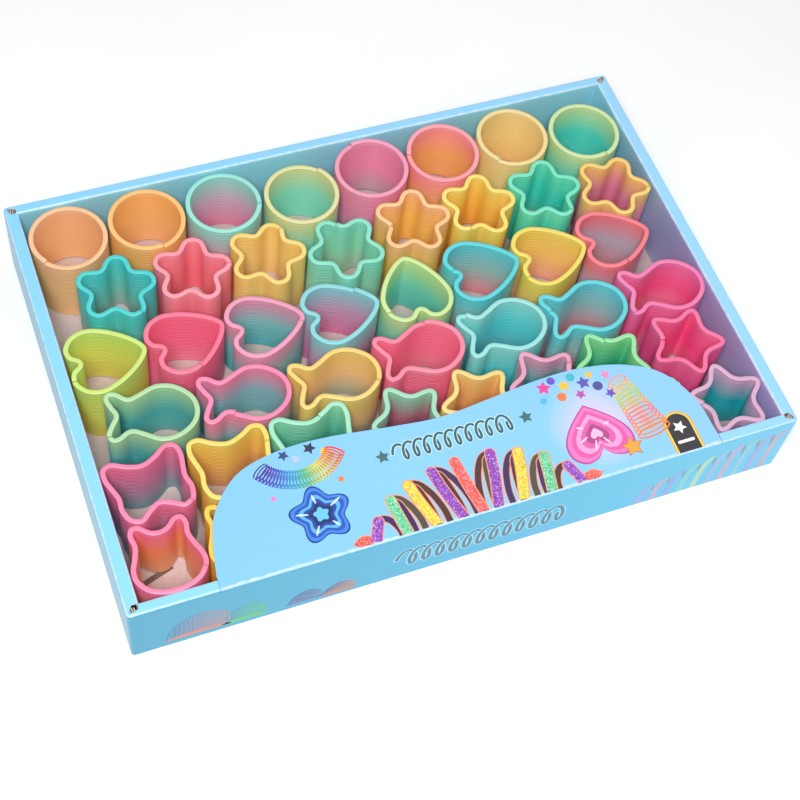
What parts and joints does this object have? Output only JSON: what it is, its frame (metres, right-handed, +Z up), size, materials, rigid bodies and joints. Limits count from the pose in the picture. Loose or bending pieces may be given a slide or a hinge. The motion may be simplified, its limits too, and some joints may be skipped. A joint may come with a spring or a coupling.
{
  "type": "spring coil toy counter display tray",
  "caption": "Folded carton counter tray with a wavy header card, packed with small shaped spring coil toys that lift out and stretch.",
  "frame": {"origin": "centre of the tray's underside, on the surface it stands on", "axes": "+X along the front wall to the right, +Y from the front wall to the back wall, +Z up"},
  "size_m": [0.3, 0.2086, 0.039],
  "materials": {
    "grey_board": "uncoated grey board",
    "printed_board": "gloss-laminated print",
    "header_board": "gloss-laminated print",
    "round_1_plastic": "translucent gloss",
    "round_2_plastic": "translucent gloss",
    "round_3_plastic": "translucent gloss",
    "round_4_plastic": "translucent gloss",
    "round_5_plastic": "translucent gloss",
    "round_6_plastic": "translucent gloss",
    "round_7_plastic": "translucent gloss",
    "round_8_plastic": "translucent gloss",
    "flower_1_plastic": "translucent gloss",
    "flower_2_plastic": "translucent gloss",
    "flower_3_plastic": "translucent gloss",
    "flower_4_plastic": "translucent gloss",
    "flower_5_plastic": "translucent gloss",
    "flower_6_plastic": "translucent gloss",
    "flower_7_plastic": "translucent gloss",
    "flower_8_plastic": "translucent gloss",
    "heart_1_plastic": "translucent gloss",
    "heart_2_plastic": "translucent gloss",
    "heart_3_plastic": "translucent gloss",
    "heart_4_plastic": "translucent gloss",
    "heart_5_plastic": "translucent gloss",
    "heart_6_plastic": "translucent gloss",
    "heart_7_plastic": "translucent gloss",
    "heart_8_plastic": "translucent gloss",
    "fish_1_plastic": "translucent gloss",
    "fish_2_plastic": "translucent gloss",
    "fish_3_plastic": "translucent gloss",
    "fish_4_plastic": "translucent gloss",
    "fish_5_plastic": "translucent gloss",
    "fish_6_plastic": "translucent gloss",
    "fish_7_plastic": "translucent gloss",
    "butterfly_1_plastic": "translucent gloss",
    "butterfly_2_plastic": "translucent gloss",
    "butterfly_3_plastic": "translucent gloss",
    "star_1_plastic": "translucent gloss",
    "star_2_plastic": "translucent gloss",
    "star_3_plastic": "translucent gloss",
    "star_4_plastic": "translucent gloss",
    "star_5_plastic": "translucent gloss",
    "star_6_plastic": "translucent gloss",
    "cat_1_plastic": "translucent gloss",
    "cat_2_plastic": "translucent gloss",
    "cat_3_plastic": "translucent gloss",
    "cat_4_plastic": "translucent gloss",
    "cat_5_plastic": "translucent gloss",
    "cat_6_plastic": "translucent gloss",
    "cat_7_plastic": "translucent gloss",
    "cat_8_plastic": "translucent gloss"
  },
  "bodies": {
    "tray": {"tray_floor": "grey_board", "front_wall": "printed_board", "back_wall": "printed_board", "left_wall": "printed_board", "right_wall": "printed_board", "butterfly_coil_2": "butterfly_2_plastic", "butterfly_coil_3": "butterfly_3_plastic", "star_coil_1": "star_1_plastic", "star_coil_2": "star_2_plastic", "star_coil_3": "star_3_plastic", "star_coil_4": "star_4_plastic", "star_coil_6": "star_6_plastic", "cat_coil_2": "cat_2_plastic", "cat_coil_3": "cat_3_plastic", "cat_coil_4": "cat_4_plastic", "cat_coil_5": "cat_5_plastic", "cat_coil_6": "cat_6_plastic", "cat_coil_7": "cat_7_plastic", "cat_coil_8": "cat_8_plastic"},
    "header": {"header_card": "header_board"},
    "round_coil_1": {"round_coil_1": "round_1_plastic"},
    "round_coil_2": {"round_coil_2_lower": "round_2_plastic"},
    "round_coil_2_top": {"round_coil_2_upper": "round_2_plastic"},
    "round_coil_3": {"round_coil_3": "round_3_plastic"},
    "round_coil_4": {"round_coil_4": "round_4_plastic"},
    "round_coil_5": {"round_coil_5": "round_5_plastic"},
    "round_coil_6": {"round_coil_6": "round_6_plastic"},
    "round_coil_7": {"round_coil_7": "round_7_plastic"},
    "round_coil_8": {"round_coil_8": "round_8_plastic"},
    "flower_coil_1": {"flower_coil_1": "flower_1_plastic"},
    "flower_coil_2": {"flower_coil_2": "flower_2_plastic"},
    "flower_coil_3": {"flower_coil_3": "flower_3_plastic"},
    "flower_coil_4": {"flower_coil_4": "flower_4_plastic"},
    "flower_coil_5": {"flower_coil_5": "flower_5_plastic"},
    "flower_coil_6": {"flower_coil_6": "flower_6_plastic"},
    "flower_coil_7": {"flower_coil_7_lower": "flower_7_plastic"},
    "flower_coil_7_top": {"flower_coil_7_upper": "flower_7_plastic"},
    "flower_coil_8": {"flower_coil_8": "flower_8_plastic"},
    "heart_coil_1": {"heart_coil_1": "heart_1_plastic"},
    "heart_coil_2": {"heart_coil_2": "heart_2_plastic"},
    "heart_coil_3": {"heart_coil_3": "heart_3_plastic"},
    "heart_coil_4": {"heart_coil_4_lower": "heart_4_plastic"},
    "heart_coil_4_top": {"heart_coil_4_upper": "heart_4_plastic"},
    "heart_coil_5": {"heart_coil_5": "heart_5_plastic"},
    "heart_coil_6": {"heart_coil_6": "heart_6_plastic"},
    "heart_coil_7": {"heart_coil_7": "heart_7_plastic"},
    "heart_coil_8": {"heart_coil_8": "heart_8_plastic"},
    "fish_coil_1": {"fish_coil_1": "fish_1_plastic"},
    "fish_coil_2": {"fish_coil_2": "fish_2_plastic"},
    "fish_coil_3": {"fish_coil_3": "fish_3_plastic"},
    "fish_coil_4": {"fish_coil_4": "fish_4_plastic"},
    "fish_coil_5": {"fish_coil_5": "fish_5_plastic"},
    "fish_coil_6": {"fish_coil_6_lower": "fish_6_plastic"},
    "fish_coil_6_top": {"fish_coil_6_upper": "fish_6_plastic"},
    "fish_coil_7": {"fish_coil_7": "fish_7_plastic"},
    "butterfly_coil_1": {"butterfly_coil_1_lower": "butterfly_1_plastic"},
    "butterfly_coil_1_top": {"butterfly_coil_1_upper": "butterfly_1_plastic"},
    "star_coil_5": {"star_coil_5_lower": "star_5_plastic"},
    "star_coil_5_top": {"star_coil_5_upper": "star_5_plastic"},
    "cat_coil_1": {"cat_coil_1": "cat_1_plastic"}
  },
  "joints": [
    {"name": "header_fold", "type": "hinge", "parent": "tray", "child": "header", "pos_m": [0, -0.1043, 0.0382], "axis": [1, 0, 0], "range_deg": [0, 110]},
    {"name": "stretch_round_2", "type": "slide", "parent": "round_coil_2", "child": "round_coil_2_top", "axis": [0, 0, 1], "range_m": [0, 0.12]},
    {"name": "stretch_flower_7", "type": "slide", "parent": "flower_coil_7", "child": "flower_coil_7_top", "axis": [0, 0, 1], "range_m": [0, 0.12]},
    {"name": "stretch_heart_4", "type": "slide", "parent": "heart_coil_4", "child": "heart_coil_4_top", "axis": [0, 0, 1], "range_m": [0, 0.12]},
    {"name": "stretch_fish_6", "type": "slide", "parent": "fish_coil_6", "child": "fish_coil_6_top", "axis": [0, 0, 1], "range_m": [0, 0.12]},
    {"name": "stretch_butterfly_1", "type": "slide", "parent": "butterfly_coil_1", "child": "butterfly_coil_1_top", "axis": [0, 0, 1], "range_m": [0, 0.12]},
    {"name": "stretch_star_5", "type": "slide", "parent": "star_coil_5", "child": "star_coil_5_top", "axis": [0, 0, 1], "range_m": [0, 0.12]},
    {"name": "lift_round_1", "type": "slide", "parent": "tray", "child": "round_coil_1", "axis": [0, 0, 1], "range_m": [0, 0.045]},
    {"name": "lift_round_2", "type": "slide", "parent": "tray", "child": "round_coil_2", "axis": [0, 0, 1], "range_m": [0, 0.045]},
    {"name": "lift_round_3", "type": "slide", "parent": "tray", "child": "round_coil_3", "axis": [0, 0, 1], "range_m": [0, 0.045]},
    {"name": "lift_round_4", "type": "slide", "parent": "tray", "child": "round_coil_4", "axis": [0, 0, 1], "range_m": [0, 0.045]},
    {"name": "lift_round_5", "type": "slide", "parent": "tray", "child": "round_coil_5", "axis": [0, 0, 1], "range_m": [0, 0.045]},
    {"name": "lift_round_6", "type": "slide", "parent": "tray", "child": "round_coil_6", "axis": [0, 0, 1], "range_m": [0, 0.045]},
    {"name": "lift_round_7", "type": "slide", "parent": "tray", "child": "round_coil_7", "axis": [0, 0, 1], "range_m": [0, 0.045]},
    {"name": "lift_round_8", "type": "slide", "parent": "tray", "child": "round_coil_8", "axis": [0, 0, 1], "range_m": [0, 0.045]},
    {"name": "lift_flower_1", "type": "slide", "parent": "tray", "child": "flower_coil_1", "axis": [0, 0, 1], "range_m": [0, 0.045]},
    {"name": "lift_flower_2", "type": "slide", "parent": "tray", "child": "flower_coil_2", "axis": [0, 0, 1], "range_m": [0, 0.045]},
    {"name": "lift_flower_3", "type": "slide", "parent": "tray", "child": "flower_coil_3", "axis": [0, 0, 1], "range_m": [0, 0.045]},
    {"name": "lift_flower_4", "type": "slide", "parent": "tray", "child": "flower_coil_4", "axis": [0, 0, 1], "range_m": [0, 0.045]},
    {"name": "lift_flower_5", "type": "slide", "parent": "tray", "child": "flower_coil_5", "axis": [0, 0, 1], "range_m": [0, 0.045]},
    {"name": "lift_flower_6", "type": "slide", "parent": "tray", "child": "flower_coil_6", "axis": [0, 0, 1], "range_m": [0, 0.045]},
    {"name": "lift_flower_7", "type": "slide", "parent": "tray", "child": "flower_coil_7", "axis": [0, 0, 1], "range_m": [0, 0.045]},
    {"name": "lift_flower_8", "type": "slide", "parent": "tray", "child": "flower_coil_8", "axis": [0, 0, 1], "range_m": [0, 0.045]},
    {"name": "lift_heart_1", "type": "slide", "parent": "tray", "child": "heart_coil_1", "axis": [0, 0, 1], "range_m": [0, 0.045]},
    {"name": "lift_heart_2", "type": "slide", "parent": "tray", "child": "heart_coil_2", "axis": [0, 0, 1], "range_m": [0, 0.045]},
    {"name": "lift_heart_3", "type": "slide", "parent": "tray", "child": "heart_coil_3", "axis": [0, 0, 1], "range_m": [0, 0.045]},
    {"name": "lift_heart_4", "type": "slide", "parent": "tray", "child": "heart_coil_4", "axis": [0, 0, 1], "range_m": [0, 0.045]},
    {"name": "lift_heart_5", "type": "slide", "parent": "tray", "child": "heart_coil_5", "axis": [0, 0, 1], "range_m": [0, 0.045]},
    {"name": "lift_heart_6", "type": "slide", "parent": "tray", "child": "heart_coil_6", "axis": [0, 0, 1], "range_m": [0, 0.045]},
    {"name": "lift_heart_7", "type": "slide", "parent": "tray", "child": "heart_coil_7", "axis": [0, 0, 1], "range_m": [0, 0.045]},
    {"name": "lift_heart_8", "type": "slide", "parent": "tray", "child": "heart_coil_8", "axis": [0, 0, 1], "range_m": [0, 0.045]},
    {"name": "lift_fish_1", "type": "slide", "parent": "tray", "child": "fish_coil_1", "axis": [0, 0, 1], "range_m": [0, 0.045]},
    {"name": "lift_fish_2", "type": "slide", "parent": "tray", "child": "fish_coil_2", "axis": [0, 0, 1], "range_m": [0, 0.045]},
    {"name": "lift_fish_3", "type": "slide", "parent": "tray", "child": "fish_coil_3", "axis": [0, 0, 1], "range_m": [0, 0.045]},
    {"name": "lift_fish_4", "type": "slide", "parent": "tray", "child": "fish_coil_4", "axis": [0, 0, 1], "range_m": [0, 0.045]},
    {"name": "lift_fish_5", "type": "slide", "parent": "tray", "child": "fish_coil_5", "axis": [0, 0, 1], "range_m": [0, 0.045]},
    {"name": "lift_fish_6", "type": "slide", "parent": "tray", "child": "fish_coil_6", "axis": [0, 0, 1], "range_m": [0, 0.045]},
    {"name": "lift_fish_7", "type": "slide", "parent": "tray", "child": "fish_coil_7", "axis": [0, 0, 1], "range_m": [0, 0.045]},
    {"name": "lift_butterfly_1", "type": "slide", "parent": "tray", "child": "butterfly_coil_1", "axis": [0, 0, 1], "range_m": [0, 0.045]},
    {"name": "lift_star_5", "type": "slide", "parent": "tray", "child": "star_coil_5", "axis": [0, 0, 1], "range_m": [0, 0.045]},
    {"name": "lift_cat_1", "type": "slide", "parent": "tray", "child": "cat_coil_1", "axis": [0, 0, 1], "range_m": [0, 0.045]}
  ]
}
